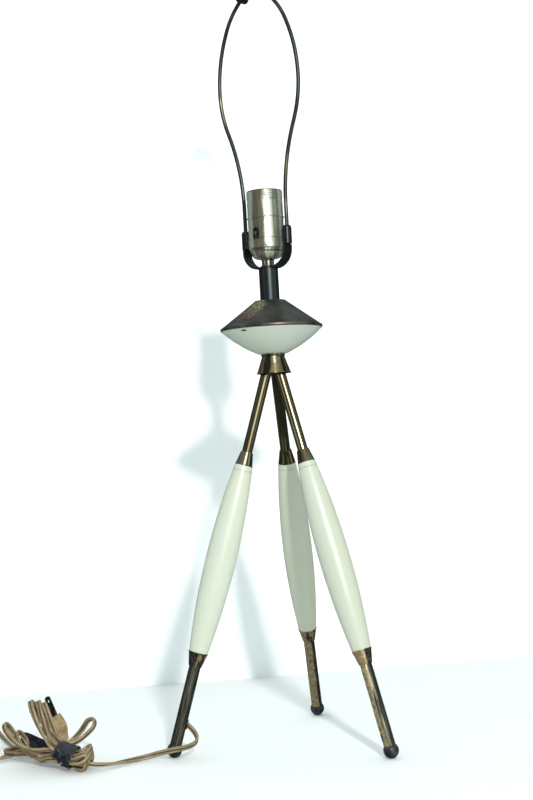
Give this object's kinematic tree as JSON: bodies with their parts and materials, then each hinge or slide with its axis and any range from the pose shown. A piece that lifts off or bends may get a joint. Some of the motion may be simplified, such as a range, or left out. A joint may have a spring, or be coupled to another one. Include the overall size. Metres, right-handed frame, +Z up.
{
  "type": "table lamp base",
  "caption": "Tripod table lamp base with turned legs, a double-cone disc, a screw lamp socket with a turn switch, a lift-off harp for a shade, and a plug-in lead.",
  "frame": {"origin": "on the floor, at the middle of the box that the stand fills without its lead", "axes": "+Z up along the lamp's axis, +Y towards the back leg, +X to the right; the lamp's axis stands 27.8 mm towards -Y from the origin"},
  "size_m": [0.4381, 0.2309, 0.7043],
  "materials": {
    "foot_rubber": "semi-matt moulded rubber, scuffed",
    "tarnished_brass": "worn and pitted brass plating, dull",
    "cream_wood": "turned wood under semi-gloss cream enamel",
    "polished_brass": "polished, lightly aged",
    "cord_brown": "soft gold-brown plastic",
    "cord_tie": "dark rubber band",
    "hub_iron": "as cast, out of sight",
    "disc_cream": "semi-gloss cream enamel",
    "disc_bronze": "spun metal under a dark bronze lacquer, worn",
    "harp_bronze": "dark bronzed",
    "plated_steel": "zinc plated",
    "socket_brass": "thin pressed brass, aged to a silvery tone",
    "contact_brass": "bare brass",
    "insulator_paper": "fibre sleeve",
    "socket_phenolic": "moulded phenolic"
  },
  "bodies": {
    "root": {"ball_foot_back": "foot_rubber", "ball_foot_left": "foot_rubber", "ball_foot_right": "foot_rubber", "cap_set_screw": "plated_steel", "centre_contact": "contact_brass", "centre_rod": "plated_steel", "collar_skirt": "polished_brass", "cord_grommet": "cord_brown", "cord_hank": "cord_brown", "cord_tube": "cord_brown", "disc_lower_shell": "disc_cream", "disc_nut": "plated_steel", "disc_upper_shell": "disc_bronze", "hank_tie": "cord_tie", "harp_saddle": "harp_bronze", "insulator_sleeve": "insulator_paper", "internal_lead": "cord_brown", "leg_hub": "hub_iron", "lower_ferrule_back": "tarnished_brass", "lower_ferrule_left": "tarnished_brass", "lower_ferrule_right": "tarnished_brass", "lower_tube_back": "tarnished_brass", "lower_tube_left": "tarnished_brass", "lower_tube_right": "tarnished_brass", "neck_nut": "harp_bronze", "plug_blades": "contact_brass", "plug_body": "cord_brown", "post_tube": "harp_bronze", "screw_shell": "contact_brass", "socket_body": "socket_phenolic", "socket_cap": "socket_brass", "socket_shell": "socket_brass", "spindle_back": "cream_wood", "spindle_left": "cream_wood", "spindle_right": "cream_wood", "terminal_screws": "contact_brass", "upper_ferrule_back": "polished_brass", "upper_ferrule_left": "polished_brass", "upper_ferrule_right": "polished_brass", "upper_tube_back": "polished_brass", "upper_tube_left": "polished_brass", "upper_tube_right": "polished_brass"},
    "harp": {"harp_wire_right": "harp_bronze", "harp_wire_left": "harp_bronze", "harp_bridge": "harp_bronze", "shade_post": "harp_bronze"},
    "sleeve_right": {"harp_sleeve_right": "harp_bronze"},
    "sleeve_left": {"harp_sleeve_left": "harp_bronze"},
    "switch": {"switch_shaft": "socket_brass"}
  },
  "joints": [
    {"name": "harp_lift", "type": "slide", "parent": "root", "child": "harp", "axis": [0, 0, 1], "range_m": [0, 0.03]},
    {"name": "sleeve_right_slide", "type": "slide", "parent": "harp", "child": "sleeve_right", "axis": [0, 0, 1], "range_m": [0, 0.015]},
    {"name": "sleeve_left_slide", "type": "slide", "parent": "harp", "child": "sleeve_left", "axis": [0, 0, 1], "range_m": [0, 0.015]},
    {"name": "switch_turn", "type": "hinge", "parent": "root", "child": "switch", "pos_m": [0, -0.02783, 0.46377], "axis": [-0.3955, -0.9184, 0], "continuous": true}
  ]
}
